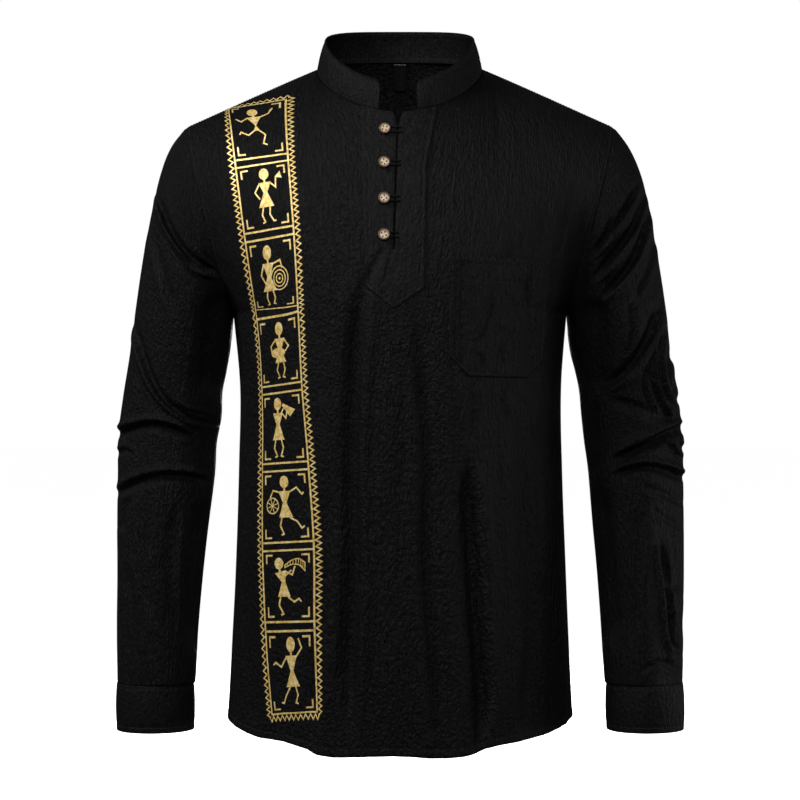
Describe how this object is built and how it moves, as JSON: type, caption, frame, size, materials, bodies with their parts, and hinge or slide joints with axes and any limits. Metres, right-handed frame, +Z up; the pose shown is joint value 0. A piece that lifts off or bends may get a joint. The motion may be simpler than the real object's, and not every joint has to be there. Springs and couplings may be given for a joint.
{
  "type": "mandarin collar shirt",
  "caption": "Long-sleeved pullover shirt with a stand collar, a buttoned neck placket, a chest pocket and a gold printed border, filled out as worn.",
  "frame": {"origin": "the middle of the neck opening, level with the high points of the shoulders, where the wearer holds the shirt up", "axes": "+Z up from the hem to the collar, -Y out of the shirt's front, +X towards the side with the pocket"},
  "size_m": [0.6012, 0.2448, 0.774],
  "materials": {
    "black_cotton": "matt black crinkled cotton, with a gold foil print on the front",
    "button_shell": "burnt cream button with a darker brown rim and four holes",
    "black_satin": "smooth black satin",
    "gold_foil": "worn gold foil printed on the cloth"
  },
  "bodies": {
    "root": {"front": "black_cotton", "back": "black_cotton", "sleeve_left": "black_cotton", "sleeve_right": "black_cotton", "cuff_left": "black_cotton", "cuff_right": "black_cotton", "collar": "black_cotton", "placket_over": "black_cotton", "placket_under": "black_cotton", "pocket": "black_cotton", "button_1": "button_shell", "loop_1": "black_cotton", "button_2": "button_shell", "loop_2": "black_cotton", "button_3": "button_shell", "loop_3": "black_cotton", "button_4": "button_shell", "loop_4": "black_cotton", "neck_label": "black_satin"}
  },
  "joints": []
}
